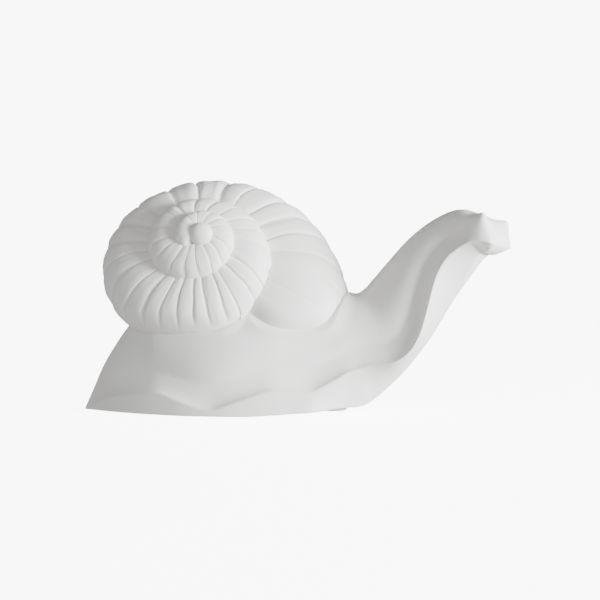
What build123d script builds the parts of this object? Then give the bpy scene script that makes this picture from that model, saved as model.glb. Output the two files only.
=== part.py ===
"""Snail figurine: a hollow slip-cast body, a hollow shell luted on its back, two luted tentacles,
a stopper in the drain hole and four felt pads. Millimetres, +X is the way the snail crawls, +Z is up."""
from build123d import *
import os
from math import cos, pi, radians, sin

# Body: overall sizes
body_length = 200.0
crown_height = 94.0
foot_width = 56.0
skirt_depth = 17.0
ledge_depth = 5.0
ledge_rise = 4.5
skirt_slope_share = 0.08
skirt_limit_share = 0.6
ledge_limit_share = 0.45
rise_limit_share = 0.3
bow_lift = 2.6
body_wall = 5.0
hollow_draw_share = 0.5
sole_lift = 0.3

# Neck: it turns to the snail's right and the head leans
neck_start = 18.0
neck_radius = 125.0
head_lean = -8.0

# Shell: a tube that coils about an axis and grows with every turn, flattened across the snail
shell_apex_x = -47.65
shell_apex_y = -27.0
shell_apex_z = 89.0
shell_tilt = 34.8
shell_swing = -3.7
shell_flat_share = 0.62
whorl_offset = 35.0
whorl_radius = 31.5
whorl_drop = 65.5
whorl_growth = 2.04
first_turn = -1.9
last_turn = 1.17
seat_height = 37.0
outer_groove = 0.98
mouth_flare_share = 0.05
flare_start = 0.95
flare_end = 1.1
mouth_steps = 3
loft_turn = 0.5
hollow_turn = 0.15
hollow_steps = 12
rib_depth_share = 0.04
bead_share = 1.15
rib_fade_start = 0.8
rib_fade_end = 1.03
shell_wall = 5.0
navel_drop = 58.0
navel_radius = 27.0
lute_gap = 0.15

# Tentacles: blunt cones splayed outwards and ahead, each with a tenon in a socket of the head
tentacle_spread = 9.0
tentacle_set_back = 1.4
tentacle_splay = 40.0
tentacle_lean = 20.0
tentacle_root_share = 0.5
tentacle_length = 9.0
tentacle_radius = 4.6
tentacle_tip_radius = 2.2
tenon_end_share = 0.55
tenon_radius = 1.6
tenon_depth = 4.0
tenon_gap = 0.1

# Drain hole and its stopper
drain_x = -45.0
drain_radius = 6.0
drain_recess_radius = 9.0
drain_recess_depth = 1.6
plug_gap = 0.1
plug_flange = 1.3
plug_lip = 0.8
plug_lip_length = 2.0

# Felt pads, each set in a recess of the sole
pad_radius = 6.0
pad_thickness = 1.0
pad_gap = 0.2
pad_tail_x = -72.0
pad_side_x = -18.0
pad_side_y = 17.0
pad_front_x = 16.0

# Body stations from the tail tip to the snout, one cross-section each.
# Sole x and crown x are shares of the body length, counted from its middle, sole z and crown z are
# shares of the crown height, then come the half width as a share of half the foot width, the height of
# the skirt's edge as a share of the skirt depth, the fullness of the back (0 a keel, 1 a dome, above 1 a
# back that swells to carry the shell), the width of the ledge as a share of the ledge depth, the lift of
# the sole's edge as a share of the bow lift and how far the sole is drawn in under the skirt, as a share
# of the half width.
STATION_SHARES = [
    (-0.505, 0.000, -0.504, 0.016, 0.025, 0.04, 0.00, 1.00, 0.00, 0.00),
    (-0.491, 0.000, -0.488, 0.097, 0.093, 0.13, 0.00, 1.00, 0.00, 0.00),
    (-0.466, 0.000, -0.464, 0.216, 0.221, 0.27, 0.10, 1.00, 0.00, 0.00),
    (-0.437, 0.000, -0.436, 0.305, 0.350, 0.39, 0.25, 1.00, 0.00, 0.00),
    (-0.400, 0.000, -0.399, 0.417, 0.500, 0.48, 0.50, 1.00, 0.00, 0.00),
    (-0.360, 0.000, -0.360, 0.471, 0.643, 0.55, 0.80, 1.00, 0.00, 0.00),
    (-0.320, 0.000, -0.320, 0.486, 0.760, 0.58, 1.10, 1.00, 0.00, 0.00),
    (-0.275, 0.000, -0.275, 0.507, 0.868, 0.42, 1.25, 1.00, 0.00, 0.00),
    (-0.235, 0.000, -0.235, 0.537, 0.936, 0.26, 1.30, 1.00, 0.00, 0.00),
    (-0.195, 0.000, -0.195, 0.568, 0.979, 0.18, 1.30, 1.00, 0.00, 0.00),
    (-0.155, 0.000, -0.155, 0.592, 1.000, 0.32, 1.30, 1.00, 0.00, 0.00),
    (-0.110, 0.000, -0.110, 0.607, 0.993, 0.51, 1.30, 1.00, 0.00, 0.00),
    (-0.065, 0.000, -0.065, 0.612, 0.964, 0.66, 1.25, 1.00, 0.17, 0.00),
    (-0.020, 0.000, -0.020, 0.607, 0.914, 0.64, 1.20, 1.00, 0.35, 0.00),
    (0.025, 0.000, 0.025, 0.595, 0.864, 0.63, 1.10, 1.00, 0.52, 0.00),
    (0.065, 0.002, 0.064, 0.582, 0.821, 0.82, 1.00, 1.00, 0.67, 0.15),
    (0.105, 0.008, 0.097, 0.572, 0.786, 1.02, 0.95, 1.00, 0.60, 0.35),
    (0.145, 0.019, 0.121, 0.573, 0.750, 1.10, 0.90, 1.15, 0.35, 0.55),
    (0.178, 0.060, 0.134, 0.577, 0.729, 0.95, 0.85, 1.30, 0.10, 0.70),
    (0.211, 0.122, 0.142, 0.585, 0.711, 0.66, 0.80, 1.30, 0.00, 0.76),
    (0.244, 0.190, 0.149, 0.596, 0.696, 0.37, 0.75, 1.30, 0.00, 0.78),
    (0.275, 0.273, 0.156, 0.609, 0.682, 0.18, 0.75, 1.30, 0.00, 0.78),
    (0.303, 0.356, 0.167, 0.637, 0.664, 0.19, 0.75, 1.30, 0.00, 0.78),
    (0.329, 0.448, 0.186, 0.684, 0.646, 0.29, 0.75, 1.30, 0.00, 0.78),
    (0.354, 0.537, 0.215, 0.755, 0.629, 0.42, 0.75, 1.30, 0.00, 0.78),
    (0.377, 0.606, 0.248, 0.831, 0.600, 0.54, 0.80, 1.30, 0.00, 0.78),
    (0.398, 0.669, 0.285, 0.899, 0.568, 0.55, 0.85, 1.30, 0.00, 0.76),
    (0.417, 0.725, 0.323, 0.949, 0.532, 0.43, 0.90, 1.15, 0.00, 0.72),
    (0.433, 0.762, 0.359, 0.979, 0.510, 0.30, 0.95, 0.50, 0.00, 0.66),
    (0.445, 0.764, 0.388, 0.983, 0.480, 0.27, 1.00, 0.20, 0.00, 0.62),
    (0.458, 0.774, 0.412, 0.968, 0.450, 0.22, 1.00, 0.10, 0.00, 0.52),
    (0.467, 0.787, 0.432, 0.950, 0.410, 0.11, 1.00, 0.05, 0.00, 0.38),
    (0.473, 0.801, 0.447, 0.932, 0.360, 0.01, 1.00, 0.00, 0.00, 0.20),
    (0.474, 0.815, 0.458, 0.913, 0.300, 0.05, 1.00, 0.00, 0.00, 0.05),
    (0.475, 0.835, 0.465, 0.893, 0.200, 0.03, 1.00, 0.00, 0.00, 0.00),
]
TENTACLE_STATION = 32
CAVITY_STATIONS = (5, 6, 8, 10, 12, 14, 16, 18, 20, 22, 24)

# A dome's half width, as shares of its foot, at shares of its height
DOME_SHARES = ((0.35, 0.97), (0.65, 0.86), (0.85, 0.62), (0.96, 0.33))
# How far along the back, as shares of its run from the crown, those points lie
DOME_STEP_SHARES = (0, 0.16, 0.33, 0.52, 0.74, 1)

# Ribs per turn at turns of the coil, from the apex to the mouth
RIB_RATES = (
    (-1.9, 9), (-1.2, 12), (-0.85, 20), (-0.7, 18), (-0.55, 14.5), (-0.3, 15), (-0.1, 20),
    (0.05, 25), (0.15, 30), (0.33, 29), (0.42, 21), (0.84, 21), (0.92, 28), (1.17, 28),
)

# Where the pads lie under the sole
PAD_PLACES = {
    "pad_tail": (pad_tail_x, 0),
    "pad_left": (pad_side_x, pad_side_y),
    "pad_right": (pad_side_x, -pad_side_y),
    "pad_front": (pad_front_x, 0),
}


def neck_turn(x):
    """How far the neck has turned at x, in radians."""
    return max(0.0, x - neck_start) / neck_radius


def station_plane(station):
    """The plane of a station, its origin on the sole line, and the height of its section."""
    sole_x, sole_z, crown_x, crown_z = station[:4]
    sole_x, crown_x = sole_x * body_length, crown_x * body_length
    sole_z, crown_z = sole_z * crown_height, crown_z * crown_height
    middle_x, middle_z = (sole_x + crown_x) / 2, (sole_z + crown_z) / 2
    turn = neck_turn(middle_x)
    ahead = Vector(cos(turn), -sin(turn), 0)
    left = Vector(sin(turn), cos(turn), 0)
    middle = Vector(min(middle_x, neck_start), 0, middle_z)
    middle += Vector(neck_radius * sin(turn), -neck_radius * (1 - cos(turn)), 0)
    rise = ahead * (crown_x - sole_x) + Vector(0, 0, crown_z - sole_z)
    height = rise.length
    up = rise.normalized()
    lean = radians(head_lean) * (turn / neck_turn(body_length / 2)) ** 2
    left, up = left * cos(lean) + up * sin(lean), up * cos(lean) - left * sin(lean)
    origin = middle - up * (height / 2)
    return Plane(origin=origin, x_dir=left, z_dir=left.cross(up)), height


def station_sizes(station):
    """Sole corner, skirt edge and ledge corner of a station as (across, up)."""
    _, height = station_plane(station)
    half_width = station[4] * foot_width / 2
    skirt = min(station[5] * skirt_depth, skirt_limit_share * height)
    ledge = min(ledge_depth * station[7], ledge_limit_share * half_width)
    rise = min(ledge_rise, rise_limit_share * (height - skirt))
    edge = half_width - skirt_slope_share * skirt
    sole = (half_width * (1 - station[9]), bow_lift * station[8])
    return sole, (edge, skirt), (edge - ledge, skirt + rise)


def dome_points(foot, foot_height, height, fullness):
    """Half of a back from its foot up to its crown, without the crown."""
    points = [(foot, foot_height)]
    for part, dome in DOME_SHARES:
        keel = 1 - part
        points.append((foot * (keel + (dome - keel) * fullness), foot_height + part * (height - foot_height)))
    return points


def dome_edge(plane, half, height, fullness, side):
    """One half of a back as an edge, crown to foot, on the left (1) or the right (-1)."""
    points = [(0.0, height)] + half[::-1]
    across = half[0][0]
    slope = (height - half[0][1]) * max(0.0, 1 - fullness)
    start = Vector(side * across, -slope, 0).normalized()
    end = Vector(side * (half[0][0] - half[1][0]), half[0][1] - half[1][1], 0).normalized()
    places = [plane.from_local_coords(Vector(side * u, v, 0)) for u, v in points]
    turned = [plane.from_local_coords(t) - plane.origin for t in (start, end)]
    return Edge.make_spline(places, tangents=turned, parameters=DOME_STEP_SHARES)


def section_wire(plane, foot_line, half, height, fullness):
    """A closed section from its crown round: left back, foot to the middle and out again, right back."""
    left = [plane.from_local_coords(Vector(u, v, 0)) for u, v in foot_line]
    right = [plane.from_local_coords(Vector(-u, v, 0)) for u, v in foot_line]
    ring = left + right[-2::-1]
    edges = [dome_edge(plane, half, height, fullness, 1)]
    edges += [Edge.make_line(a, b) for a, b in zip(ring, ring[1:])]
    edges.append(dome_edge(plane, half, height, fullness, -1))
    return Wire(edges)


def body_wire(station, grow):
    plane, height = station_plane(station)
    sole, edge, corner = station_sizes(station)
    foot_line = [
        (corner[0] + grow, corner[1] + grow),
        (edge[0] + grow, edge[1] + grow),
        (sole[0] + grow, sole[1] - grow),
        (0.0, -grow),
    ]
    half = dome_points(corner[0] + grow, corner[1] + grow, height + grow, station[6])
    return section_wire(plane, foot_line, half, height + grow, station[6])


def cavity_wire(station):
    plane, height = station_plane(station)
    _, _, corner = station_sizes(station)
    foot = corner[0] - body_wall * (1 + hollow_draw_share * station[9])
    half = dome_points(foot, body_wall, height - body_wall, station[6])
    return section_wire(plane, [(foot, body_wall), (0.0, body_wall)], half, height - body_wall, station[6])


def body_form(grow=0.0):
    """The outer form of the body with an allowance all round, lofted from the head backwards."""
    form = Solid.make_loft([body_wire(station, grow) for station in STATION_SHARES[::-1]])
    return Pos(0, 0, sole_lift) * form


def body_cavity():
    form = Solid.make_loft([cavity_wire(STATION_SHARES[i]) for i in CAVITY_STATIONS[::-1]])
    return Pos(0, 0, sole_lift) * form


def shell_axes():
    """Unit directions of the shell: along its axis to the apex, ahead and, square to both, downwards."""
    tilt, swing = radians(shell_tilt), radians(shell_swing)
    axis = Vector(sin(swing) * cos(tilt), -cos(swing) * cos(tilt), sin(tilt))
    ahead = Vector(cos(swing), sin(swing), 0)
    return axis, ahead, ahead.cross(axis)


def flattened(shape):
    """A shape drawn in or out across the snail about the apex."""
    shift = shell_apex_y * (1 - shell_flat_share)
    return shape.transform_geometry(Matrix([[1, 0, 0, 0], [0, shell_flat_share, 0, shift], [0, 0, 1, 0]]))


def whorl_direction(turn):
    """The way out from the axis at a turn."""
    _, ahead, down = shell_axes()
    return ahead * cos(2 * pi * turn) + down * sin(2 * pi * turn)


def whorl_centre(turn):
    """The middle of the tube at a turn, before the flattening."""
    axis, _, _ = shell_axes()
    place = whorl_direction(turn) * whorl_offset - axis * whorl_drop
    return Vector(shell_apex_x, shell_apex_y, shell_apex_z) + place * whorl_growth ** (turn - 1)


def whorl_wire(turn, radius):
    """A section of the tube in two halves, round but for the flattening, radius as at the first full turn."""
    axis, _, _ = shell_axes()
    size = whorl_growth ** (turn - 1)
    outwards = whorl_direction(turn)
    plane = Plane(origin=whorl_centre(turn), x_dir=outwards, z_dir=outwards.cross(axis))
    halves = [Edge.make_circle(size * radius, plane, start, start + 180) for start in (0, 180)]
    return Wire([flattened(half) for half in halves])


def rib_rate(turn):
    """Ribs per turn at a turn."""
    for (start, rate), (end, next_rate) in zip(RIB_RATES, RIB_RATES[1:]):
        if turn <= end:
            break
    return rate + (next_rate - rate) * (turn - start) / (end - start)


def rib_turns():
    """The turns at which the grooves between the ribs lie, from the last one inwards."""
    grooves = [outer_groove]
    while grooves[-1] > first_turn:
        middle = grooves[-1] - 1 / rib_rate(grooves[-1]) / 2
        grooves.append(grooves[-1] - 1 / rib_rate(middle))
    return grooves


def flared_radius(turn):
    """The tube's radius, as at the first full turn, with the flare of its mouth."""
    flare = min(1.0, max(0.0, turn - flare_start) / (flare_end - flare_start))
    return whorl_radius * (1 + mouth_flare_share * flare)


def shell_sections():
    """Turn and radius of every section from the mouth to the apex: plain, then crest and groove by turns."""
    plain = [last_turn - (last_turn - outer_groove) * step / mouth_steps for step in range(mouth_steps)]
    sections = [(turn, flared_radius(turn)) for turn in plain]
    grooves = rib_turns()
    for outer, inner in zip(grooves, grooves[1:]):
        fade = min(1.0, (rib_fade_end - outer) / (rib_fade_end - rib_fade_start))
        crest = (outer + inner) / 2
        sections.append((outer, flared_radius(outer) * (1 - rib_depth_share * fade)))
        sections.append((crest, flared_radius(crest)))
    sections.append((grooves[-1], whorl_radius))
    return sections


def joined_tube(sections):
    """A tube through the sections, lofted under half a turn at a time and joined from the apex outwards."""
    sections = sections[::-1]
    tube = None
    first = 0
    while first < len(sections) - 1:
        last = first + 1
        while last < len(sections) - 1 and sections[last + 1][0] - sections[first][0] < loft_turn:
            last += 1
        length = Solid.make_loft([whorl_wire(*section) for section in sections[first:last + 1]], ruled=True)
        tube = length if tube is None else tube.fuse(length)
        first = last
    return tube


def shell_cavity():
    steps = round((last_turn - hollow_turn) * hollow_steps)
    sections = []
    for step in range(steps + 1):
        turn = last_turn - (last_turn - hollow_turn) * step / steps
        sections.append((turn, whorl_radius - shell_wall * whorl_growth ** (1 - turn)))
    return joined_tube(sections)


def below(height):
    """All that lies under a height."""
    reach = 2 * body_length
    return Pos(0, 0, height - reach / 2) * Box(reach, reach, reach)


def tentacle_place(side):
    """Where a tentacle's root is, with its axis as Z: the left one (1) or the right one (-1)."""
    plane, height = station_plane(STATION_SHARES[TENTACLE_STATION])
    root = Vector(side * tentacle_spread / 2, tentacle_root_share * height, -tentacle_set_back)
    splay, lean = radians(tentacle_splay), radians(tentacle_lean)
    way = Vector(side * sin(splay) * cos(lean), cos(splay) * cos(lean), sin(lean))
    axis = plane.from_local_coords(way) - plane.origin
    origin = plane.from_local_coords(root) + Vector(0, 0, sole_lift)
    across = plane.z_dir.cross(axis)
    return Plane(origin=origin, x_dir=across, z_dir=axis).location


def tenon(radius, depth):
    return Pos(0, 0, tentacle_length * tenon_end_share - depth) * Cylinder(
        radius, depth, align=(Align.CENTER, Align.CENTER, Align.MIN))


def make_tentacle(side, scribe):
    tip = tentacle_length - tentacle_tip_radius
    cone = Solid.make_cone(tentacle_radius, tentacle_tip_radius, tip)
    cone += Pos(0, 0, tip) * Sphere(tentacle_tip_radius)
    place = tentacle_place(side)
    return (place * cone - scribe) + place * tenon(tenon_radius, tenon_depth)


def make_body():
    body = body_form() - body_cavity() - below(sole_lift)
    body -= Pos(drain_x, 0, sole_lift) * Cylinder(drain_recess_radius, 2 * drain_recess_depth)
    body -= Pos(drain_x, 0, sole_lift) * Cylinder(drain_radius, 4 * body_wall)
    for side in (1, -1):
        body -= tentacle_place(side) * tenon(tenon_radius + tenon_gap, tenon_depth + tenon_gap)
    for x, y in PAD_PLACES.values():
        body -= Pos(x, y, 0) * Cylinder(pad_radius + pad_gap, 2 * pad_thickness)
    return body


def navel_form():
    """The dome that closes the hollow middle of the whorls on the far side."""
    axis, _, _ = shell_axes()
    centre = Vector(shell_apex_x, shell_apex_y, shell_apex_z) - axis * navel_drop
    return flattened(Solid.make_sphere(navel_radius, Plane(centre)))


def apex_bead(section):
    """The round end of the tube at the apex."""
    turn, radius = section
    centre = whorl_centre(turn)
    return flattened(Solid.make_sphere(bead_share * radius * whorl_growth ** (turn - 1), Plane(centre)))


def make_shell(scribe):
    sections = shell_sections()
    whorls = joined_tube(sections).fuse(apex_bead(sections[-1])).fuse(navel_form())
    return whorls - shell_cavity() - below(seat_height) - scribe


def make_plug():
    seat = sole_lift + drain_recess_depth
    inside = sole_lift + body_wall + plug_gap
    stem = drain_radius - plug_gap
    outline = [
        (0, seat - plug_flange),
        (drain_recess_radius - plug_gap, seat - plug_flange),
        (drain_recess_radius - plug_gap, seat),
        (stem, seat),
        (stem, inside),
        (stem + plug_lip, inside),
        (stem - plug_lip, inside + plug_lip_length),
        (0, inside + plug_lip_length),
    ]
    profile = make_face(Polyline(*[(x, 0, z) for x, z in outline], close=True))
    return Pos(drain_x, 0, 0) * revolve(profile, Axis.Z)


def make_pad(x, y):
    return Pos(x, y, 0) * Cylinder(pad_radius, pad_thickness, align=(Align.CENTER, Align.CENTER, Align.MIN))


def make_parts():
    scribe = body_form(lute_gap)
    parts = {
        "body": make_body(),
        "shell": make_shell(scribe),
        "right_tentacle": make_tentacle(-1, scribe),
        "left_tentacle": make_tentacle(1, scribe),
        "drain_plug": make_plug(),
    }
    for name, place in PAD_PLACES.items():
        parts[name] = make_pad(*place)
    return parts


def centred(parts):
    """The parts moved so that the origin is on the floor under the middle of the whole figure."""
    boxes = [solid.bounding_box() for solid in parts.values()]
    middle_x = (min(box.min.X for box in boxes) + max(box.max.X for box in boxes)) / 2
    middle_y = (min(box.min.Y for box in boxes) + max(box.max.Y for box in boxes)) / 2
    return {name: Pos(-middle_x, -middle_y, 0) * solid for name, solid in parts.items()}


os.makedirs("parts", exist_ok=True)
for name, solid in centred(make_parts()).items():
    export_step(solid, f"parts/{name}.step")
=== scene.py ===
"""A snail figurine in unglazed white ceramic: its cast body and ribbed shell, the stopper and the felt pads
under its sole, a pale floor, soft light and a camera. Metres, +X is the way the snail crawls, +Z is up."""
import math

import bmesh
import bpy
import numpy as np
from bpy.props import FloatProperty, FloatVectorProperty, IntProperty, PointerProperty
from mathutils import Matrix, Vector
from mathutils.bvhtree import BVHTree


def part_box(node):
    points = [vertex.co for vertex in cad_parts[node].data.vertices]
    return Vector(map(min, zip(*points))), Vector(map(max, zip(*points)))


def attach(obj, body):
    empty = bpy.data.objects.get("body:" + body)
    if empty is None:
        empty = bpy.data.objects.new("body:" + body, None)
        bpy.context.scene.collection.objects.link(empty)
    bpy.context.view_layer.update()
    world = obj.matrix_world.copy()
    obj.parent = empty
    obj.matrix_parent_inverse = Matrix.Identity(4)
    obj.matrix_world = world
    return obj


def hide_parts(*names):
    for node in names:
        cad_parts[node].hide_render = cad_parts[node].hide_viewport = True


bl_info = {
    "name": "Snail figurine",
    "version": (1, 0, 0),
    "blender": (4, 5, 0),
    "location": "3D View > Sidebar > Snail",
    "description": "Builds a white ceramic snail figurine around its fixed frame",
    "category": "Add Mesh",
}

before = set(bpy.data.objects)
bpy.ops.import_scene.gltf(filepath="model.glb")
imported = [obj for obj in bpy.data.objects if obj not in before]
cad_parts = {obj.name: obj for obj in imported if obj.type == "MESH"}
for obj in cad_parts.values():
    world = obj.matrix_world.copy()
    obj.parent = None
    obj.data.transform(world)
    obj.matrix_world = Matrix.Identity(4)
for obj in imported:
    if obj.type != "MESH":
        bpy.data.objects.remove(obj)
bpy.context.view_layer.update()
MM = 0.001


def middle_of(node):
    """The middle of a CAD node's box."""
    low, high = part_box(node)
    return (low + high) / 2


# The body was drawn about a line on the floor, and the front pad lies this far ahead of that line's middle
PAD_FRONT_AHEAD = 16 * MM
ON_FLOOR = Vector((1, 1, 0))
DRAWN_FROM = middle_of("pad_front") * ON_FLOOR - Vector((PAD_FRONT_AHEAD, 0, 0))

# Body stations from the tail tip to the snout: sole x and sole z, crown x and crown z, each x as a share of
# the body length from its middle and each z as a share of the crown height, half width as a share of half
# the foot width, height of the skirt's edge as a share of the skirt depth, fullness of the back (0 a keel,
# 1 a dome, above 1 a dome with a belly), width of the cove as a share of the ledge depth, lift of the sole's
# edge as a share of the bow lift and how far the sole is drawn in under the skirt, as a share of the half
# width
STATION_SHARES = (
    (-0.502, 0.000, -0.501, 0.016, 0.025, 0.04, 0.00, 0.06, 0.00, 0.00),
    (-0.488, 0.000, -0.485, 0.093, 0.093, 0.13, 0.00, 0.22, 0.00, 0.00),
    (-0.464, 0.000, -0.461, 0.212, 0.221, 0.27, 0.10, 0.48, 0.00, 0.00),
    (-0.437, 0.000, -0.436, 0.305, 0.350, 0.39, 0.25, 0.68, 0.00, 0.00),
    (-0.400, 0.000, -0.399, 0.417, 0.500, 0.48, 0.50, 0.86, 0.00, 0.00),
    (-0.360, 0.000, -0.360, 0.471, 0.643, 0.55, 0.80, 0.98, 0.00, 0.00),
    (-0.320, 0.000, -0.320, 0.486, 0.760, 0.58, 1.10, 1.00, 0.00, 0.00),
    (-0.275, 0.000, -0.275, 0.507, 0.868, 0.42, 1.27, 1.05, 0.00, 0.00),
    (-0.235, 0.000, -0.235, 0.537, 0.936, 0.26, 1.36, 1.06, 0.00, 0.00),
    (-0.195, 0.000, -0.195, 0.568, 0.979, 0.18, 1.42, 1.10, 0.00, 0.00),
    (-0.155, 0.000, -0.155, 0.592, 1.000, 0.32, 1.46, 1.15, 0.00, 0.00),
    (-0.110, 0.000, -0.110, 0.607, 0.993, 0.51, 1.48, 1.20, 0.00, 0.00),
    (-0.065, 0.000, -0.065, 0.612, 0.964, 0.66, 1.46, 1.20, 0.17, 0.00),
    (-0.020, 0.000, -0.020, 0.607, 0.914, 0.64, 1.42, 1.20, 0.35, 0.00),
    (0.025, 0.000, 0.025, 0.595, 0.864, 0.63, 1.40, 1.17, 0.52, 0.00),
    (0.065, 0.002, 0.064, 0.582, 0.821, 0.82, 1.40, 1.08, 0.67, 0.15),
    (0.105, 0.008, 0.097, 0.572, 0.786, 1.02, 1.46, 0.96, 0.60, 0.35),
    (0.148, 0.019, 0.122, 0.573, 0.748, 1.09, 1.54, 0.86, 0.33, 0.56),
    (0.178, 0.060, 0.134, 0.577, 0.729, 0.95, 1.62, 0.88, 0.10, 0.70),
    (0.211, 0.122, 0.142, 0.585, 0.711, 0.66, 1.68, 0.92, 0.00, 0.76),
    (0.244, 0.190, 0.149, 0.596, 0.696, 0.37, 1.70, 0.96, 0.00, 0.78),
    (0.275, 0.273, 0.156, 0.609, 0.682, 0.18, 1.70, 0.97, 0.00, 0.78),
    (0.303, 0.356, 0.167, 0.637, 0.664, 0.19, 1.68, 0.92, 0.00, 0.78),
    (0.329, 0.448, 0.186, 0.684, 0.646, 0.29, 1.64, 0.87, 0.00, 0.78),
    (0.354, 0.537, 0.215, 0.755, 0.629, 0.42, 1.58, 0.84, 0.00, 0.78),
    (0.377, 0.606, 0.248, 0.831, 0.600, 0.54, 1.48, 0.82, 0.00, 0.78),
    (0.398, 0.669, 0.285, 0.899, 0.568, 0.55, 1.35, 0.82, 0.00, 0.76),
    (0.417, 0.725, 0.323, 0.949, 0.532, 0.43, 1.18, 0.78, 0.00, 0.72),
    (0.433, 0.762, 0.359, 0.979, 0.510, 0.30, 1.08, 0.50, 0.00, 0.66),
    (0.445, 0.764, 0.388, 0.983, 0.480, 0.27, 1.00, 0.20, 0.00, 0.62),
    (0.458, 0.774, 0.412, 0.968, 0.450, 0.22, 1.00, 0.10, 0.00, 0.52),
    (0.467, 0.787, 0.432, 0.950, 0.410, 0.11, 1.00, 0.05, 0.00, 0.38),
    (0.473, 0.801, 0.447, 0.932, 0.360, 0.01, 1.00, 0.00, 0.00, 0.20),
    (0.474, 0.815, 0.458, 0.913, 0.300, 0.05, 1.00, 0.00, 0.00, 0.05),
    (0.475, 0.835, 0.465, 0.893, 0.200, 0.03, 1.00, 0.00, 0.00, 0.00),
)


def length_property(name, description, default):
    return FloatProperty(name=name, description=description, default=default, unit="LENGTH", precision=5)


def colour_property(name, description, default):
    return FloatVectorProperty(name=name, description=description, default=default, subtype="COLOR",
                               size=4, min=0, max=1)


class SnailBodySettings(bpy.types.PropertyGroup):
    """Sizes of the cast body."""
    body_length: length_property("Body length", "From the tail tip to the snout along the body", 200 * MM)
    crown_height: length_property("Crown height", "From the floor to the top of the head", 94 * MM)
    foot_width: length_property("Foot width", "Across the widest part of the foot", 56 * MM)
    skirt_depth: length_property("Skirt depth", "Tallest part of the wavy skirt round the foot", 17 * MM)
    ledge_depth: length_property("Ledge depth", "How far the back stands in from the skirt's edge", 5 * MM)
    ledge_rise: length_property("Ledge rise", "How far the cove above the skirt climbs", 5.8 * MM)
    sole_lift: length_property("Sole lift", "Height of the sole above the floor", 0.3 * MM)
    bow_lift: length_property("Bow lift", "How far the sole's edge rises at the front of the foot", 2.6 * MM)
    neck_start: length_property("Neck start", "Where the neck begins to turn", 18 * MM)
    neck_radius: length_property("Neck radius", "Radius of the neck's turn to the right", 125 * MM)
    head_lean: FloatProperty(name="Head lean", description="How far the head leans over",
                             default=math.radians(-8), subtype="ANGLE")
    edge_round: length_property("Edge round", "Rounding of the skirt's edge", 0.9 * MM)
    rows_per_station: IntProperty(name="Rows per station", description="Mesh rows from station to station",
                                  default=9, min=2)


class SnailShellSettings(bpy.types.PropertyGroup):
    """Sizes of the coiled shell."""
    apex_ahead: length_property("Apex ahead", "Top of the coil, ahead of the body's middle", -47.65 * MM)
    apex_across: length_property("Apex across", "Top of the coil, left of the body's middle", -27 * MM)
    apex_height: length_property("Apex height", "Top of the coil, above the floor", 89 * MM)
    tilt: FloatProperty(name="Tilt", description="How far the coil's axis points up",
                        default=math.radians(34.8), subtype="ANGLE")
    swing: FloatProperty(name="Swing", description="How far the coil's axis turns ahead",
                         default=math.radians(-3.7), subtype="ANGLE")
    flat_share: FloatProperty(name="Flatness", description="Width of the coil against a round one",
                              default=0.62)
    whorl_offset: length_property("Whorl offset", "From the axis to the middle of the first turn", 35 * MM)
    whorl_radius: length_property("Whorl radius", "Radius of the tube at the first full turn", 31.5 * MM)
    whorl_drop: length_property("Whorl drop", "From the apex down the axis to the first full turn", 65.5 * MM)
    growth: FloatProperty(name="Growth", description="How much the coil grows with each turn", default=2.04)
    first_turn: FloatProperty(name="First turn", description="Turn at the apex", default=-1.65)
    last_turn: FloatProperty(name="Last turn", description="Turn at the mouth", default=1.17)
    navel_drop: length_property("Navel drop", "From the apex down the axis to the dome of the navel", 58 * MM)
    navel_radius: length_property("Navel radius", "Radius of the dome of the navel", 27 * MM)
    seat_height: length_property("Seat height", "Height at which the shell sinks into the back", 38 * MM)
    seat_depth: length_property("Seat depth", "How far the shell reaches into the back", 3 * MM)
    settle_height: length_property("Settle height", "Height below which the shell is drawn in", 48 * MM)
    lute_reach: length_property("Lute reach", "How far from the joint the slip is smoothed out", 4.5 * MM)
    drift_ahead: length_property("Drift ahead", "How far the first turns lie ahead of the axis", 2.3 * MM)
    drift_down: length_property("Drift down", "How far the first turns lie below the axis", 2.5 * MM)
    bead_radius: length_property("Bead radius", "Radius of the bead in the middle of the coil", 5.1 * MM)
    bead_drop: length_property("Bead drop", "From the apex down the axis to the middle of the bead", 8 * MM)
    mouth_flare: FloatProperty(name="Mouth flare", description="How much the tube widens at its mouth",
                               default=0.14)
    unevenness: FloatProperty(name="Unevenness", description="How far ribs wander, in ribs", default=1.1)
    groove_depth: FloatProperty(name="Groove depth", description="Depth of a groove, as a share of the tube",
                                default=0.046)
    seed: IntProperty(name="Seed", description="Choice of the uneven carving", default=7)


class SnailFinishSettings(bpy.types.PropertyGroup):
    """Colours of the finishes."""
    bisque_colour: colour_property("Bisque", "Colour of the unglazed ceramic", (0.83, 0.82, 0.80, 1))
    felt_colour: colour_property("Felt", "Colour of the pads", (0.70, 0.68, 0.64, 1))
    rubber_colour: colour_property("Rubber", "Colour of the stopper", (0.62, 0.61, 0.59, 1))
    floor_colour: colour_property("Floor", "Colour of the floor", (0.93, 0.93, 0.93, 1))


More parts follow.
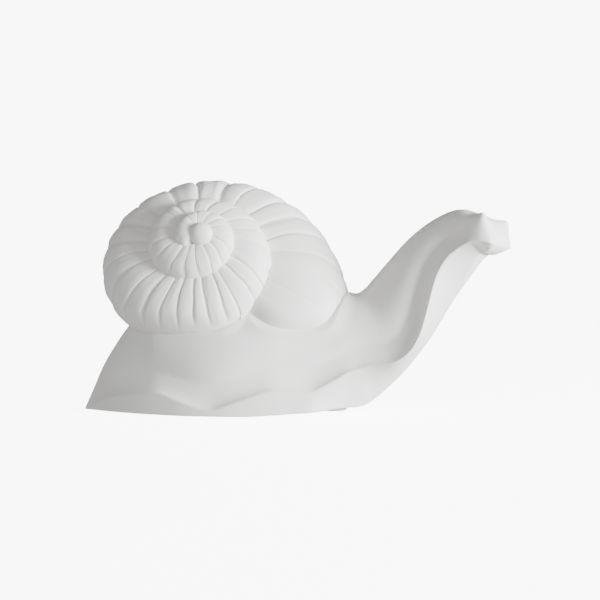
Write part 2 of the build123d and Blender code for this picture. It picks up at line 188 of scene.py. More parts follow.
class Field:
    """A number at each point of a node tree: plain arithmetic on it adds the math nodes."""

    def __init__(self, tree, socket):
        self.tree = tree
        self.socket = socket

    def math(self, operation, *others):
        node = self.tree.nodes.new("ShaderNodeMath")
        node.operation = operation
        for place, value in zip(node.inputs, (self, *others)):
            feed(self.tree, place, value)
        return Field(self.tree, node.outputs[0])

    def ramp(self, start, end, smooth=True):
        """From 0 at start to 1 at end."""
        node = self.tree.nodes.new("ShaderNodeMapRange")
        node.interpolation_type = "SMOOTHSTEP" if smooth else "LINEAR"
        feed(self.tree, node.inputs["Value"], self)
        feed(self.tree, node.inputs["From Min"], start)
        feed(self.tree, node.inputs["From Max"], end)
        return Field(self.tree, node.outputs["Result"])

    def __add__(self, other):
        return self.math("ADD", other)

    def __sub__(self, other):
        return self.math("SUBTRACT", other)

    def __rsub__(self, other):
        return self.math("MULTIPLY_ADD", -1.0, other)

    def __mul__(self, other):
        return self.math("MULTIPLY", other)

    def __truediv__(self, other):
        return self.math("DIVIDE", other)

    def __pow__(self, other):
        return self.math("POWER", other)

    __radd__ = __add__
    __rmul__ = __mul__


def feed(tree, place, value):
    """Links a field to an input, or sets the input to a number."""
    if isinstance(value, Field):
        tree.links.new(value.socket, place)
    else:
        place.default_value = value


def noise_field(tree, along, angle, turns, detail=2.0):
    """Noise from 0 to 1 on a field along a tube and an angle round it, turns times as busy round it."""
    where = tree.nodes.new("ShaderNodeCombineXYZ")
    feed(tree, where.inputs["X"], along)
    feed(tree, where.inputs["Y"], angle.math("COSINE") * turns)
    feed(tree, where.inputs["Z"], angle.math("SINE") * turns)
    node = tree.nodes.new("ShaderNodeTexNoise")
    tree.links.new(where.outputs[0], node.inputs["Vector"])
    node.inputs["Scale"].default_value = 1
    node.inputs["Detail"].default_value = detail
    return Field(tree, node.outputs[0])


def mesh_object(name, vertices, faces, material, smooth=True):
    """A new object at the origin from arrays of places and faces."""
    mesh = bpy.data.meshes.new(name)
    mesh.from_pydata([tuple(v) for v in vertices], [], [tuple(f) for f in faces])
    mesh.validate()
    if smooth:
        mesh.shade_smooth()
    mesh.materials.append(material)
    obj = bpy.data.objects.new(name, mesh)
    bpy.context.scene.collection.objects.link(obj)
    return obj


def stand_in_frame(obj, slot, *nodes):
    """The piece rides on the figure and stands for its solids."""
    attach(obj, "root")
    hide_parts(*nodes)


def node_material(name, colour, roughness):
    """A material with its main shader, and its node tree."""
    material = bpy.data.materials.new(name)
    material.use_nodes = True
    shader = material.node_tree.nodes["Principled BSDF"]
    shader.inputs["Base Color"].default_value = colour
    shader.inputs["Roughness"].default_value = roughness
    return material, material.node_tree, shader


TINT_LOW = 0.3
TINT_HIGH = 0.7


def object_noise(tree, scale, detail):
    """Noise on the object's own coordinates, in features per metre."""
    place = tree.nodes.new("ShaderNodeTexCoord")
    node = tree.nodes.new("ShaderNodeTexNoise")
    tree.links.new(place.outputs["Object"], node.inputs["Vector"])
    node.inputs["Scale"].default_value = scale
    node.inputs["Detail"].default_value = detail
    return node.outputs["Fac"]


def tinted(tree, shader, factor, dark, light):
    """Colour that wanders between two tints."""
    ramp = tree.nodes.new("ShaderNodeValToRGB")
    ramp.color_ramp.elements[0].position = TINT_LOW
    ramp.color_ramp.elements[0].color = dark
    ramp.color_ramp.elements[1].position = TINT_HIGH
    ramp.color_ramp.elements[1].color = light
    tree.links.new(factor, ramp.inputs["Fac"])
    tree.links.new(ramp.outputs["Color"], shader.inputs["Base Color"])


def bumped(tree, shader, height, strength, distance):
    bump = tree.nodes.new("ShaderNodeBump")
    bump.inputs["Strength"].default_value = strength
    bump.inputs["Distance"].default_value = distance
    tree.links.new(height, bump.inputs["Height"])
    tree.links.new(bump.outputs["Normal"], shader.inputs["Normal"])


def shade_of(colour, share):
    return (colour[0] * share, colour[1] * share, colour[2] * share, 1)


BISQUE_SHEEN = 0.3


def bisque_material():
    """Matt unglazed ceramic with a faint cloudiness and a fine tooth."""
    name = "bisque"
    if name in bpy.data.materials:
        return bpy.data.materials[name]
    colour = bpy.context.scene.snail_finish.bisque_colour
    material, tree, shader = node_material(name, colour, roughness=0.62)
    shader.inputs["Specular IOR Level"].default_value = BISQUE_SHEEN
    clouds = object_noise(tree, scale=45, detail=4)
    tooth = object_noise(tree, scale=1400, detail=3)
    tinted(tree, shader, clouds, shade_of(colour, share=0.975), colour)
    bumped(tree, shader, tooth, strength=0.12, distance=0.15 * MM)
    return material


def felt_material():
    """Pressed felt, mottled and hairy."""
    colour = bpy.context.scene.snail_finish.felt_colour
    material, tree, shader = node_material("felt", colour, roughness=0.95)
    mottle = object_noise(tree, scale=900, detail=4)
    hairs = object_noise(tree, scale=2200, detail=4)
    tinted(tree, shader, mottle, shade_of(colour, share=0.8), colour)
    bumped(tree, shader, hairs, strength=0.6, distance=0.3 * MM)
    return material


def rubber_material():
    """Soft grey rubber, a little dusty."""
    colour = bpy.context.scene.snail_finish.rubber_colour
    material, tree, shader = node_material("rubber", colour, roughness=0.5)
    dust = object_noise(tree, scale=300, detail=3)
    grain = object_noise(tree, scale=1500, detail=2)
    tinted(tree, shader, dust, shade_of(colour, share=0.92), colour)
    bumped(tree, shader, grain, strength=0.1, distance=0.1 * MM)
    return material


def floor_material():
    """Pale paper that glows as the backdrop does."""
    colour = bpy.context.scene.snail_finish.floor_colour
    material, tree, shader = node_material("floor", colour, roughness=0.8)
    clouds = object_noise(tree, scale=3, detail=2)
    tinted(tree, shader, clouds, shade_of(colour, share=0.99), colour)
    shader.inputs["Emission Color"].default_value = colour
    shader.inputs["Emission Strength"].default_value = BACKDROP_GLOW
    return material


def smooth_rows(table, steps):
    """Rows of a table with steps rows from each to the next, on smooth curves through them."""
    table = np.array(table)
    slopes = np.gradient(table, axis=0)
    rows = []
    for i in range(len(table) - 1):
        for step in range(steps):
            t = step / steps
            rows.append((1 + 2 * t) * (1 - t) ** 2 * table[i] + t * (1 - t) ** 2 * slopes[i]
                        + t * t * (3 - 2 * t) * table[i + 1] + t * t * (t - 1) * slopes[i + 1])
    rows.append(table[-1])
    return rows


class SectionFrame:
    """Where a station stands: its origin on the sole line, its way left, its way up and its height."""

    def __init__(self, station, sizes):
        sole_x, crown_x = station[0] * sizes.body_length, station[2] * sizes.body_length
        sole_z, crown_z = station[1] * sizes.crown_height, station[3] * sizes.crown_height
        middle_x = (sole_x + crown_x) / 2
        turn = max(0.0, middle_x - sizes.neck_start) / sizes.neck_radius
        full_turn = (sizes.body_length / 2 - sizes.neck_start) / sizes.neck_radius
        ahead = Vector((math.cos(turn), -math.sin(turn), 0))
        left = Vector((math.sin(turn), math.cos(turn), 0))
        rise = ahead * (crown_x - sole_x) + Vector((0, 0, crown_z - sole_z))
        up = rise.normalized()
        lean = sizes.head_lean * (turn / full_turn) ** 2
        self.height = rise.length
        self.left = left * math.cos(lean) + up * math.sin(lean)
        self.up = up * math.cos(lean) - left * math.sin(lean)
        middle = Vector((min(middle_x, sizes.neck_start) + sizes.neck_radius * math.sin(turn),
                         -sizes.neck_radius * (1 - math.cos(turn)), (sole_z + crown_z) / 2 + sizes.sole_lift))
        self.origin = middle - self.up * (self.height / 2)

    def place(self, across, up):
        return self.origin + self.left * across + self.up * up


# Shares that shape a section, and the points on each stretch of it
SKIRT_SLOPE_SHARE = 0.08
SKIRT_LIMIT_SHARE = 0.6
LEDGE_LIMIT_SHARE = 0.45
RISE_LIMIT_SHARE = 0.35
RISE_GROWTH_SHARE = 0.1
SOLE_STEPS = 12
ARC_STEPS = 5
SKIRT_STEPS = 12
COVE_STEPS = 18
DOME_STEPS = 52
DOME_POWER_UP = 2.7
DOME_POWER_ACROSS = 2.2
COVE_TOP_SHARE = 0.05
COVE_BEND_SHARE = 0.40
COVE_SLOPE_SHARE = 0.44
BELLY_SHARE = 0.22
BELLY_PEAK = 6.75


def quadratic(a, b, c, steps):
    """Points on a bend from a towards b to c, without the last."""
    return [((1 - t) ** 2 * a[0] + 2 * t * (1 - t) * b[0] + t * t * c[0],
             (1 - t) ** 2 * a[1] + 2 * t * (1 - t) * b[1] + t * t * c[1]) for t in np.arange(steps) / steps]


def straight(a, b, steps):
    """Points on a line from a to b, without the last."""
    return [(a[0] + (b[0] - a[0]) * t, a[1] + (b[1] - a[1]) * t) for t in np.arange(steps) / steps]


def towards(a, b, distance):
    """The point at a distance from a on the way to b, at most halfway."""
    run = math.hypot(b[0] - a[0], b[1] - a[1])
    share = min(0.5, distance / run) if run > 0 else 0.0
    return a[0] + (b[0] - a[0]) * share, a[1] + (b[1] - a[1]) * share


def half_section(station, height, sizes):
    """The left half of a section from the middle of the sole round to the crown: (across, up)."""
    fullness = station[6]
    half_width = station[4] * sizes.foot_width / 2
    skirt = min(station[5] * sizes.skirt_depth, SKIRT_LIMIT_SHARE * height)
    ledge = min(sizes.ledge_depth * station[7], LEDGE_LIMIT_SHARE * half_width)
    rise = sizes.ledge_rise * (1 + RISE_GROWTH_SHARE * station[9])
    rise = min(rise, RISE_LIMIT_SHARE * (height - skirt))
    edge = (half_width - SKIRT_SLOPE_SHARE * skirt, skirt)
    foot, foot_height = edge[0] - ledge, skirt + rise

    def back(angle):
        part = math.sin(angle) ** (2 / DOME_POWER_UP)
        dome = max(0.0, math.cos(angle)) ** (2 / DOME_POWER_ACROSS)
        keel = 1 - part
        belly = BELLY_SHARE * max(0.0, fullness - 1) * BELLY_PEAK * part * keel ** 2
        return (foot * (keel + (dome - keel) * min(1.0, fullness) + belly),
                foot_height + part * (height - foot_height))

    cove_top = math.asin(COVE_TOP_SHARE)
    middle, corner = (0.0, 0.0), (half_width * (1 - station[9]), station[8] * sizes.bow_lift)
    sole_end, skirt_start = towards(corner, middle, sizes.edge_round), towards(corner, edge, sizes.edge_round)
    inner = (foot + COVE_BEND_SHARE * ledge, skirt + COVE_SLOPE_SHARE * rise)
    skirt_end, cove_start = towards(edge, corner, sizes.edge_round), towards(edge, inner, sizes.edge_round)
    points = straight(middle, sole_end, SOLE_STEPS)
    points += quadratic(sole_end, corner, skirt_start, ARC_STEPS)
    points += straight(skirt_start, skirt_end, SKIRT_STEPS)
    points += quadratic(skirt_end, edge, cove_start, ARC_STEPS)
    points += quadratic(cove_start, inner, back(cove_top), COVE_STEPS)
    points += [back(cove_top + (math.pi / 2 - cove_top) * t) for t in np.arange(DOME_STEPS) / DOME_STEPS]
    return points + [(0.0, height)]


def ring_faces(rows, around, first=0):
    """Quads between rings of points, each ring closed on itself."""
    faces = []
    for row in range(rows - 1):
        for k in range(around):
            a, b = first + row * around + k, first + row * around + (k + 1) % around
            faces.append((a, b, b + around, a + around))
    return faces


# Tips of the right and the left tentacle, from the middle of the line that the body is drawn about
TENTACLE_TIPS = ((80.5 * MM, -28.9 * MM, 90.3 * MM), (94.2 * MM, -13.0 * MM, 87.4 * MM))
TENTACLE_REACH = 4.2 * MM
RIDGE_SHARE = 0.45


def draw_out(vertices, tip, reach):
    """Draws the skin nearest to a tip out to it, with a ridge down from it, as clay is pinched."""
    root = min(vertices, key=lambda place: (place - tip).length).copy()
    for vertex in vertices:
        offset = (vertex - root) / reach
        if offset.z < 0:
            offset.z *= RIDGE_SHARE
        vertex += (tip - root) / (1 + offset.length_squared) ** 2


class SNAIL_OT_body(bpy.types.Operator):
    """Cast body: flat sole, wavy skirt with a cove above it, back, turned neck, head and its two tentacles"""
    bl_idname = "snail.body"
    bl_label = "Body"

    def execute(self, context):
        sizes = context.scene.snail_body
        vertices = []
        rows = smooth_rows(STATION_SHARES, sizes.rows_per_station)
        for station in rows:
            section = SectionFrame(station, sizes)
            half = half_section(station, section.height, sizes)
            ring = half + [(-across, up) for across, up in half[-2:0:-1]]
            vertices += [section.place(*point) for point in ring]
        around = len(vertices) // len(rows)
        faces = ring_faces(len(rows), around)
        tail, snout = len(vertices), len(vertices) + 1
        vertices.append(sum(vertices[:around], Vector()) / around)
        vertices.append(sum(vertices[-around - 1:-1], Vector()) / around)
        last = (len(rows) - 1) * around
        for k in range(around):
            faces.append(((k + 1) % around, k, tail))
            faces.append((last + k, last + (k + 1) % around, snout))
        for tip in TENTACLE_TIPS:
            draw_out(vertices, Vector(tip), TENTACLE_REACH)
        vertices = [v + DRAWN_FROM for v in vertices]
        obj = mesh_object("body_skin", vertices, faces, bisque_material())
        stand_in_frame(obj, "bisque", "body", "right_tentacle", "left_tentacle")
        return {"FINISHED"}


# Ribs per turn at turns of the coil from the apex to the mouth
RIB_RATES = ((-1.65, 10), (-1.2, 12), (-0.85, 20), (-0.7, 18), (-0.55, 14.5), (-0.3, 15), (-0.1, 20),
             (0.05, 25), (0.15, 30), (0.33, 29), (0.42, 21), (0.84, 21), (0.92, 28), (1.17, 28))
OUTER_GROOVE = 0.98
SHELL_INPUTS = (
    ("Whorl offset", "whorl_offset"), ("Whorl radius", "whorl_radius"), ("Whorl drop", "whorl_drop"),
    ("Growth", "growth"), ("First turn", "first_turn"), ("Last turn", "last_turn"),
    ("Navel drop", "navel_drop"), ("Navel radius", "navel_radius"),
    ("Drift ahead", "drift_ahead"), ("Drift down", "drift_down"), ("Bead radius", "bead_radius"),
    ("Bead drop", "bead_drop"), ("Tilt", "tilt"), ("Apex height", "apex_height"),
    ("Mouth flare", "mouth_flare"), ("Groove depth", "groove_depth"), ("Unevenness", "unevenness"),
    ("Seed", "seed"),
)
# Where the carving is, in turns and heights, and how deep and busy it is, in ribs and in groove depths
ROWS_PER_RIB = 12
SHELL_AROUND = 112
RIB_FADE_START = 0.93
RIB_FADE_END = 1.09
ROW_GATHERING = 0.6
WANDER_RATE = 0.8
WANDER_ROUND = 0.5
HELD_SHARE = 0.05
GROOVE_STEP = 3.7
GROOVE_POWER = 1.3
GROOVE_WIDTH_SHARE = 0.13
DEPTH_ROUND = 0.6
DEPTH_SPREAD = 2.4
DEPTH_LOSS = 0.3
LEAST_DEPTH = 0.5
CROWN_SHARE = 0.55
RIB_LOSS = 0.4
BEAD_RIBS = 1.3
STROKES_PER_RIB = 3.5
STROKE_SHARE = 1.4
STROKE_ROUND = 0.7
STROKE_DETAIL = 3.0
LUMPS_PER_RIB = 0.6
LUMP_SHARE = 0.6
LUMP_ROUND = 1.0
LUTED_HEIGHT = 40 * MM
CARVED_HEIGHT = 46 * MM
DRIFT_END = -0.3
BEAD_DRIFT_SHARE = 1.5
MOUTH_SHARE = 0.997
BALL_SEGMENTS = 64
MERGE_DISTANCE = 1e-6
FLARE_START = 0.96
FLARE_END = 1.06
SUNK_START = 1.10
SUNK_SHARE = 0.24
TUCK_SHARE = 0.6
TUCK_DEPTH = 10 * MM
SETTLE_SHARE = 0.9


def rib_counts():
    """Ribs counted from the apex to each turn of the table of rates."""
    counts = [0.0]
    for (turn, rate), (next_turn, next_rate) in zip(RIB_RATES, RIB_RATES[1:]):
        counts.append(counts[-1] + (next_turn - turn) * (rate + next_rate) / 2)
    return counts


def turn_curve(tree, along):
    """The share of the coil's turns at a share of its ribs."""
    counts = rib_counts()
    turns = [turn for turn, _ in RIB_RATES]
    node = tree.nodes.new("ShaderNodeFloatCurve")
    curve = node.mapping.curves[0]
    for count, turn in list(zip(counts, turns))[1:-1]:
        curve.points.new(count / counts[-1], (turn - turns[0]) / (turns[-1] - turns[0]))
    node.mapping.update()
    feed(tree, node.inputs["Value"], along)
    return Field(tree, node.outputs[0])


def ball_in_coil(tree, radius, ahead, down, drop):
    """A ball at a place ahead of, below and behind the apex of the coil."""
    ball = tree.nodes.new("GeometryNodeMeshUVSphere")
    ball.inputs["Segments"].default_value = BALL_SEGMENTS
    ball.inputs["Rings"].default_value = BALL_SEGMENTS // 2
    feed(tree, ball.inputs["Radius"], radius)
    place = tree.nodes.new("ShaderNodeCombineXYZ")
    feed(tree, place.inputs["X"], ahead)
    feed(tree, place.inputs["Y"], down)
    feed(tree, place.inputs["Z"], drop * -1.0)
    move = tree.nodes.new("GeometryNodeTransform")
    tree.links.new(ball.outputs["Mesh"], move.inputs["Geometry"])
    tree.links.new(place.outputs[0], move.inputs["Translation"])
    return move


def shell_tree(material):
    """Node tree of the coiled shell about its own axis: X ahead, Y down and Z to the apex."""
    tree = bpy.data.node_groups.new("Coiled shell", "GeometryNodeTree")
    tree.interface.new_socket(name="Geometry", in_out="OUTPUT", socket_type="NodeSocketGeometry")
    for label, _ in SHELL_INPUTS:
        tree.interface.new_socket(name=label, in_out="INPUT", socket_type="NodeSocketFloat")
    entry = tree.nodes.new("NodeGroupInput")
    value = {label: Field(tree, entry.outputs[label]) for label, _ in SHELL_INPUTS}
    ribs_in_all = rib_counts()[-1]
    outer_groove = np.interp(OUTER_GROOVE, [turn for turn, _ in RIB_RATES], rib_counts())
    grid = tree.nodes.new("GeometryNodeMeshGrid")
    grid.inputs["Size X"].default_value = 1
    grid.inputs["Size Y"].default_value = 1
    grid.inputs["Vertices X"].default_value = round(ribs_in_all * ROWS_PER_RIB)
    grid.inputs["Vertices Y"].default_value = SHELL_AROUND + 1
    position = tree.nodes.new("GeometryNodeInputPosition")
    parts = tree.nodes.new("ShaderNodeSeparateXYZ")
    tree.links.new(position.outputs[0], parts.inputs[0])
    along = Field(tree, parts.outputs["X"]) + 0.5
    angle = (Field(tree, parts.outputs["Y"]) + 0.5) * (2 * math.pi)

    # Rows gather at the grooves, and wander with them
    even = along * ribs_in_all - outer_groove
    count = even - (even * (2 * math.pi)).math("SINE") * (ROW_GATHERING / (2 * math.pi))
    wander = noise_field(tree, even * WANDER_RATE + value["Seed"], angle, WANDER_ROUND) - 0.5
    wander = wander * value["Unevenness"]
    free = along.ramp(0.0, HELD_SHARE) * (1 - along.ramp(1 - HELD_SHARE, 1.0))
    turn = value["First turn"] + (value["Last turn"] - value["First turn"]) * turn_curve(
        tree, (count + wander * free + outer_groove) / ribs_in_all)

    # Ribs swell between cut grooves, which differ in depth
    share = count.math("FRACT")
    nearest = share.math("MINIMUM", 1 - share)
    groove_number = (count + 0.5).math("FLOOR") * GROOVE_STEP
    depth = noise_field(tree, groove_number + value["Seed"], angle, DEPTH_ROUND) * DEPTH_SPREAD
    depth = (depth - DEPTH_LOSS).math("MAXIMUM", LEAST_DEPTH)
    groove = (1 - nearest.ramp(0.0, GROOVE_WIDTH_SHARE, smooth=False)) ** GROOVE_POWER
    crown = 1 - (1 - nearest * 2) ** 2
    ribs = crown * CROWN_SHARE - groove * depth - RIB_LOSS
    from_apex = even + outer_groove
    size = value["Growth"] ** (turn - 1)
    around = turn * (2 * math.pi)
    smooth_out = (value["Whorl offset"] + value["Whorl radius"] * angle.math("COSINE")) * size
    smooth_rise = (value["Whorl radius"] * angle.math("SINE") - value["Whorl drop"]) * size
    height = (value["Apex height"] + smooth_rise * value["Tilt"].math("SINE")
              - smooth_out * around.math("SINE") * value["Tilt"].math("COSINE"))
    present = (1 - turn.ramp(RIB_FADE_START, RIB_FADE_END)) * from_apex.ramp(BEAD_RIBS, BEAD_RIBS + 1)
    present = present * height.ramp(LUTED_HEIGHT, CARVED_HEIGHT)
    lumps = (noise_field(tree, even * LUMPS_PER_RIB, angle, LUMP_ROUND) - 0.5) * LUMP_SHARE
    strokes = noise_field(tree, count * STROKES_PER_RIB, angle, STROKE_ROUND, detail=STROKE_DETAIL) - 0.5
    strokes = strokes * STROKE_SHARE
    relief = ((ribs + strokes) * present + lumps) * value["Groove depth"]

    # The tube is round, starts under a bead and closes at the mouth, and its first turns lie off the axis
    start = (1 - from_apex / BEAD_RIBS).math("MAXIMUM", 0.0)
    ends = (1 - start * start).math("SQRT") * (1 - along.ramp(MOUTH_SHARE, 1.0))
    flare = turn.ramp(FLARE_START, FLARE_END) * value["Mouth flare"] + 1
    sunk = 1 - turn.ramp(SUNK_START, value["Last turn"]) * SUNK_SHARE
    radius = value["Whorl radius"] * (relief + 1) * flare * sunk * ends
    out = (value["Whorl offset"] + radius * angle.math("COSINE")) * size
    drift = 1 - turn.ramp(value["First turn"], DRIFT_END)
    place = tree.nodes.new("ShaderNodeCombineXYZ")
    feed(tree, place.inputs["X"], out * around.math("COSINE") + drift * value["Drift ahead"])
    feed(tree, place.inputs["Y"], out * around.math("SINE") + drift * value["Drift down"])
    feed(tree, place.inputs["Z"], (radius * angle.math("SINE") - value["Whorl drop"]) * size)
    move = tree.nodes.new("GeometryNodeSetPosition")
    tree.links.new(grid.outputs["Mesh"], move.inputs["Geometry"])
    tree.links.new(place.outputs[0], move.inputs["Position"])

    # A bead sits in the middle of the first turn, and a dome closes the hollow middle on the far side
    bead = ball_in_coil(tree, value["Bead radius"], value["Drift ahead"] * BEAD_DRIFT_SHARE,
                        value["Drift down"] * BEAD_DRIFT_SHARE, value["Bead drop"])
    dome = ball_in_coil(tree, value["Navel radius"], 0.0, 0.0, value["Navel drop"])
    join = tree.nodes.new("GeometryNodeJoinGeometry")
    tree.links.new(bead.outputs[0], join.inputs[0])
    tree.links.new(dome.outputs[0], join.inputs[0])
    merge = tree.nodes.new("GeometryNodeMergeByDistance")
    merge.inputs["Distance"].default_value = MERGE_DISTANCE
    smooth = tree.nodes.new("GeometryNodeSetShadeSmooth")
    realize = tree.nodes.new("GeometryNodeRealizeInstances")
    finish = tree.nodes.new("GeometryNodeSetMaterial")
    finish.inputs["Material"].default_value = material
    leave = tree.nodes.new("NodeGroupOutput")
    chain = (move, join, merge, smooth, realize, finish, leave)
    for a, b in zip(chain, chain[1:]):
        tree.links.new(a.outputs[0], b.inputs[0])
    return tree


def mesh_from_tree(name, tree, inputs):
    """The plain mesh that a node tree makes with these inputs."""
    mesh = bpy.data.meshes.new(name + "_seed")
    obj = bpy.data.objects.new(name, mesh)
    bpy.context.scene.collection.objects.link(obj)
    modifier = obj.modifiers.new(name, "NODES")
    modifier.node_group = tree
    for item in tree.interface.items_tree:
        if item.in_out == "INPUT":
            modifier[item.identifier] = inputs[item.name]
    depsgraph = bpy.context.evaluated_depsgraph_get()
    made = bpy.data.meshes.new_from_object(obj.evaluated_get(depsgraph))
    obj.modifiers.clear()
    obj.data = made
    return obj


def shell_placement(sizes):
    """From the coil's own axes to its place on the figure, flattened across the snail."""
    axis = Vector((math.sin(sizes.swing) * math.cos(sizes.tilt),
                   -math.cos(sizes.swing) * math.cos(sizes.tilt),
                   math.sin(sizes.tilt)))
    ahead = Vector((math.cos(sizes.swing), math.sin(sizes.swing), 0))
    down = ahead.cross(axis)
    axes = Matrix((ahead, down, axis)).transposed().to_4x4()
    flat = Matrix.Diagonal((1, sizes.flat_share, 1, 1))
    apex = Vector((sizes.apex_ahead, sizes.apex_across, sizes.apex_height))
    return Matrix.Translation(apex + DRAWN_FROM) @ flat @ axes


def sink_in_back(mesh, sizes):
    """Draws what lies below the seat up into the back, and inwards so that it stays inside."""
    for vertex in mesh.vertices:
        below = sizes.seat_height - vertex.co.z
        if below > 0:
            vertex.co.z = sizes.seat_height - sizes.seat_depth * (1 - math.exp(-below / sizes.seat_depth))
            inwards = TUCK_SHARE * min(1.0, below / TUCK_DEPTH)
            vertex.co.y += (DRAWN_FROM.y - vertex.co.y) * inwards


def surface_of(mesh):
    """A searchable copy of a mesh's faces."""
    corners = [vertex.co.copy() for vertex in mesh.vertices]
    return BVHTree.FromPolygons(corners, [tuple(face.vertices) for face in mesh.polygons])


def settle_on(mesh, back, sizes):
    """Draws the underside of the shell, where it stands out, in to the back that it sits on."""
    for vertex in mesh.vertices:
        down = (sizes.settle_height - vertex.co.z) / (sizes.settle_height - sizes.seat_height)
        if down > 0:
            place, normal, _, _ = back.find_nearest(vertex.co)
            if (vertex.co - place).dot(normal) > 0:
                vertex.co += (place - vertex.co) * min(1.0, down) ** 2 * SETTLE_SHARE


def lute(mesh, other, reach):
    """Swells a surface near another as slip does that is smoothed into their joint."""
    normals = [v.normal.copy() for v in mesh.vertices]
    for vertex, normal in zip(mesh.vertices, normals):
        _, _, _, distance = other.find_nearest(vertex.co, reach)
        if distance is not None:
            vertex.co += normal * ((reach - distance) ** 2 / (4 * reach))


class SNAIL_OT_shell(bpy.types.Operator):
    """Coiled shell with carved ribs, its lower side sunk in the back"""
    bl_idname = "snail.shell"
    bl_label = "Shell"

    def execute(self, context):
        sizes = context.scene.snail_shell
        inputs = {label: float(getattr(sizes, name)) for label, name in SHELL_INPUTS}
        obj = mesh_from_tree("shell_skin", shell_tree(bisque_material()), inputs)
        obj.data.transform(shell_placement(sizes))
        sink_in_back(obj.data, sizes)
        body = bpy.data.objects["body_skin"].data
        back = surface_of(body)
        settle_on(obj.data, back, sizes)
        shell = surface_of(obj.data)
        lute(obj.data, back, sizes.lute_reach)
        lute(body, shell, sizes.lute_reach)
        stand_in_frame(obj, "bisque", "shell")
        return {"FINISHED"}


# Felt pads, the stopper and the hollows that hold them
PADS = ("pad_tail", "pad_left", "pad_right", "pad_front")
PAD_GAP = 0.2 * MM
PAD_EDGE = 0.35 * MM
PAD_SAG = 0.08 * MM
PLUG_GAP = 0.1 * MM
PLUG_FLANGE = 1.3 * MM
PLUG_STEM_SHARE = 0.75
CUT_BELOW = 5 * MM
TURNED_STEPS = 48
SHARP_ANGLE = math.radians(40)


def turned(name, place, profile, material):
    """A closed body turned about an upright axis, from (radius, height) points between two on the axis."""
    vertices = [place + Vector((0, 0, profile[0][1]))]
    angles = [2 * math.pi * k / TURNED_STEPS for k in range(TURNED_STEPS)]
    for radius, height in profile[1:-1]:
        vertices += [place + Vector((radius * math.cos(a), radius * math.sin(a), height)) for a in angles]
    vertices.append(place + Vector((0, 0, profile[-1][1])))
    rows, last = len(profile) - 2, len(vertices) - 1
    faces = ring_faces(rows, TURNED_STEPS, first=1)
    for k in range(TURNED_STEPS):
        following = (k + 1) % TURNED_STEPS
        faces.append((0, 1 + following, 1 + k))
        faces.append((last, last - TURNED_STEPS + k, last - TURNED_STEPS + following))
    return mesh_object(name, vertices, faces, material)


def cut_from_body(place, profile):
    """Cuts a turned hollow into the sole of the body, with crisp edges."""
    body = bpy.data.objects["body_skin"]
    cutter = turned("cutter", place, profile, bisque_material())
    modifier = body.modifiers.new("hollow", "BOOLEAN")
    modifier.operation = "DIFFERENCE"
    modifier.solver = "EXACT"
    modifier.object = cutter
    made = bpy.data.meshes.new_from_object(body.evaluated_get(bpy.context.evaluated_depsgraph_get()))
    body.modifiers.clear()
    body.data = made
    bpy.data.objects.remove(cutter)
    shape = bmesh.new()
    shape.from_mesh(made)
    reach = max(radius for radius, _ in profile) + MERGE_DISTANCE
    top = profile[-1][1] + MERGE_DISTANCE
    for edge in shape.edges:
        near = all((v.co - place).xy.length < reach and v.co.z < top for v in edge.verts)
        if near and edge.calc_face_angle(0.0) > SHARP_ANGLE:
            edge.smooth = False
    shape.to_mesh(made)
    shape.free()


class SNAIL_OT_stopper(bpy.types.Operator):
    """Soft stopper in the drain hole of the sole, in a hollow of its own"""
    bl_idname = "snail.stopper"
    bl_label = "Stopper"

    def execute(self, context):
        low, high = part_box("drain_plug")
        place = middle_of("drain_plug") * ON_FLOOR
        flange = (high.x - low.x) / 2 + PLUG_GAP
        stem, seat = flange * PLUG_STEM_SHARE, low.z + PLUG_FLANGE
        cut_from_body(place, ((0, -CUT_BELOW), (flange, -CUT_BELOW), (flange, seat), (stem, seat),
                              (stem, high.z + PLUG_GAP), (0, high.z + PLUG_GAP)))
        rubber = rubber_material()
        for slot in bpy.data.objects["drain_plug"].material_slots:
            slot.material = rubber
        return {"FINISHED"}


class SNAIL_OT_pads(bpy.types.Operator):
    """Felt pads with soft edges, each in a shallow seat in the sole"""
    bl_idname = "snail.pads"
    bl_label = "Felt pads"

    def execute(self, context):
        felt = felt_material()
        for node in PADS:
            low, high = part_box(node)
            place = middle_of(node) * ON_FLOOR
            radius, top = (high.x - low.x) / 2, high.z
            seat = radius + PAD_GAP
            cut_from_body(place, ((0, -CUT_BELOW), (seat, -CUT_BELOW), (seat, top), (0, top)))
            bends = [math.pi / 2 * k / ARC_STEPS for k in range(ARC_STEPS + 1)]
            lower = [(radius - PAD_EDGE * (1 - math.sin(a)), PAD_EDGE * (1 - math.cos(a))) for a in bends]
            upper = [(radius - PAD_EDGE * (1 - math.cos(a)), top - PAD_EDGE * (1 - math.sin(a)))
                     for a in bends]
            waist = [(radius - PAD_SAG, top / 2)]
            obj = turned(node + "_felt", place, [(0, 0), *lower, *waist, *upper, (0, top)], felt)
            stand_in_frame(obj, "felt", node)
        return {"FINISHED"}


# The stage: floor, backdrop, fill, lamp and camera
FLOOR_REACH = 3.0
BACKDROP_GLOW = 9.0
FILL_GLOW = 0.50
FILL_FROM_FRONT = 0.45
FILL_FROM_BELOW = 0.35
KEY_PLACE = Vector((0.860, -0.401, 0.10))
KEY_AIM = Vector((0, 0, 0.05))
KEY_SIZE = 0.45
KEY_POWER = 45
CAMERA_PLACE = Vector((0, -480 * MM, 63 * MM))
SENSOR_WIDTH_MM = 36
IMAGE_WIDTH_PX = 600
FOCAL_PX = 1025.6
HORIZON_PX = 275


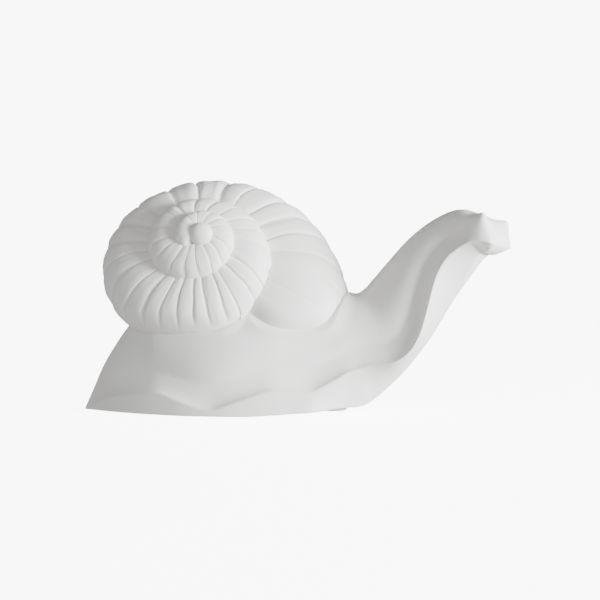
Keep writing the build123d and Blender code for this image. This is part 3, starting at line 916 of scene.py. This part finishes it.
class SNAIL_OT_stage(bpy.types.Operator):
    """Pale floor, soft light and the camera"""
    bl_idname = "snail.stage"
    bl_label = "Stage"

    def execute(self, context):
        corners = [(-FLOOR_REACH, -FLOOR_REACH, 0), (FLOOR_REACH, -FLOOR_REACH, 0),
                   (FLOOR_REACH, FLOOR_REACH, 0), (-FLOOR_REACH, FLOOR_REACH, 0)]
        floor = mesh_object("floor", corners, [(0, 1, 2, 3)], floor_material(), smooth=False)
        floor.visible_diffuse = False
        floor.visible_glossy = False
        self.world(context)
        self.light(context)
        self.camera(context)
        return {"FINISHED"}

    def world(self, context):
        """A pale backdrop behind a soft, weaker fill."""
        world = bpy.data.worlds.new("Pale room")
        world.use_nodes = True
        tree = world.node_tree
        seen = tree.nodes.new("ShaderNodeLightPath").outputs["Is Camera Ray"]
        parts = tree.nodes.new("ShaderNodeSeparateXYZ")
        tree.links.new(tree.nodes.new("ShaderNodeTexCoord").outputs["Generated"], parts.inputs[0])
        ahead = Field(tree, parts.outputs["Y"]) * FILL_FROM_FRONT
        above = Field(tree, parts.outputs["Z"]) * FILL_FROM_BELOW
        fill = (1 - ahead - above) * FILL_GLOW
        strength = fill + Field(tree, seen) * (BACKDROP_GLOW - fill)
        feed(tree, tree.nodes["Background"].inputs["Strength"], strength)
        tree.nodes["Background"].inputs["Color"].default_value = (1, 1, 1, 1)
        context.scene.world = world

    def light(self, context):
        """One round soft lamp, ahead of the snail and to its right."""
        data = bpy.data.lights.new("key", "AREA")
        data.shape = "DISK"
        data.size = KEY_SIZE
        data.energy = KEY_POWER
        lamp = bpy.data.objects.new("key", data)
        lamp.location = KEY_PLACE
        lamp.visible_camera = False
        lamp.rotation_euler = (KEY_AIM - KEY_PLACE).to_track_quat("-Z", "Y").to_euler()
        context.scene.collection.objects.link(lamp)

    def camera(self, context):
        """A level camera on the snail's right side."""
        data = bpy.data.cameras.new("camera")
        data.sensor_width = SENSOR_WIDTH_MM
        data.lens = data.sensor_width * FOCAL_PX / IMAGE_WIDTH_PX
        data.shift_y = (HORIZON_PX - IMAGE_WIDTH_PX / 2) / IMAGE_WIDTH_PX
        camera = bpy.data.objects.new("camera", data)
        camera.location = DRAWN_FROM + CAMERA_PLACE
        camera.rotation_euler = (math.pi / 2, 0, 0)
        context.scene.collection.objects.link(camera)
        context.scene.camera = camera


class SNAIL_PT_panel(bpy.types.Panel):
    """Settings and builders of the snail"""
    bl_idname = "SNAIL_PT_panel"
    bl_label = "Snail figurine"
    bl_space_type = "VIEW_3D"
    bl_region_type = "UI"
    bl_category = "Snail"

    def draw(self, context):
        for settings in SETTINGS:
            group = getattr(context.scene, settings)
            for name in group.__annotations__:
                self.layout.prop(group, name)
        for operator in OPERATORS:
            self.layout.operator(operator.bl_idname)


SETTINGS = {
    "snail_body": SnailBodySettings,
    "snail_shell": SnailShellSettings,
    "snail_finish": SnailFinishSettings,
}
OPERATORS = (SNAIL_OT_body, SNAIL_OT_shell, SNAIL_OT_stopper, SNAIL_OT_pads, SNAIL_OT_stage)


def register():
    for name, group in SETTINGS.items():
        bpy.utils.register_class(group)
        setattr(bpy.types.Scene, name, PointerProperty(type=group))
    for operator in OPERATORS:
        bpy.utils.register_class(operator)
    bpy.utils.register_class(SNAIL_PT_panel)


def unregister():
    bpy.utils.unregister_class(SNAIL_PT_panel)
    for operator in OPERATORS:
        bpy.utils.unregister_class(operator)
    for name, group in SETTINGS.items():
        delattr(bpy.types.Scene, name)
        bpy.utils.unregister_class(group)


def main():
    register()
    bpy.ops.snail.body()
    bpy.ops.snail.shell()
    bpy.ops.snail.stopper()
    bpy.ops.snail.pads()
    bpy.ops.snail.stage()


if __name__ == "__main__":
    main()
